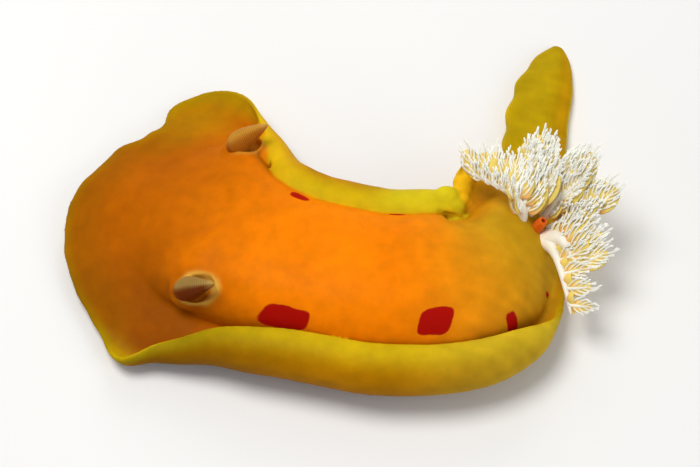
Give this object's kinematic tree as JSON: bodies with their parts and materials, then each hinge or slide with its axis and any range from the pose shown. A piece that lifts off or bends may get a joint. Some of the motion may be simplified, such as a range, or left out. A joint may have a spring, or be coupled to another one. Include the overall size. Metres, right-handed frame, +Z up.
{
  "type": "spanish dancer nudibranch model",
  "caption": "Life-size still model of a crawling sea slug: orange body, rolled-up mantle edges, rhinophores and a rosette of branching gills.",
  "frame": {"origin": "on the flat sole under the middle of the body, at floor level", "axes": "+X from the head towards the rear, -Y the animal's left side, +Z up"},
  "size_m": [0.2198, 0.1696, 0.0447],
  "materials": {
    "mantle": "soft satin skin, bright orange, darker at the head",
    "margin": "soft satin skin, golden yellow",
    "foot": "soft satin skin",
    "tail": "soft satin skin, mustard",
    "mouth": "soft satin skin",
    "rhinophore": "moist brown, darker towards the base",
    "gill": "moist, cream white twigs",
    "papilla": "moist, red orange"
  },
  "bodies": {
    "root": {"head": "mantle", "body_front": "mantle", "body_rear": "mantle", "mantle_margin_front": "margin", "mantle_margin_left_front": "margin", "mantle_margin_left_rear": "margin", "mantle_margin_rear": "margin", "mantle_margin_right_rear": "margin", "mantle_margin_right_front": "margin", "foot_front": "foot", "foot_rear": "foot", "tail": "tail", "snout": "mouth", "oral_tentacle_left": "mouth", "oral_tentacle_right": "mouth", "rhinophore_left": "rhinophore", "rhinophore_right": "rhinophore", "gill_1": "gill", "gill_2": "gill", "gill_3": "gill", "gill_4": "gill", "gill_5": "gill", "gill_6": "gill", "anal_papilla": "papilla"}
  },
  "joints": []
}
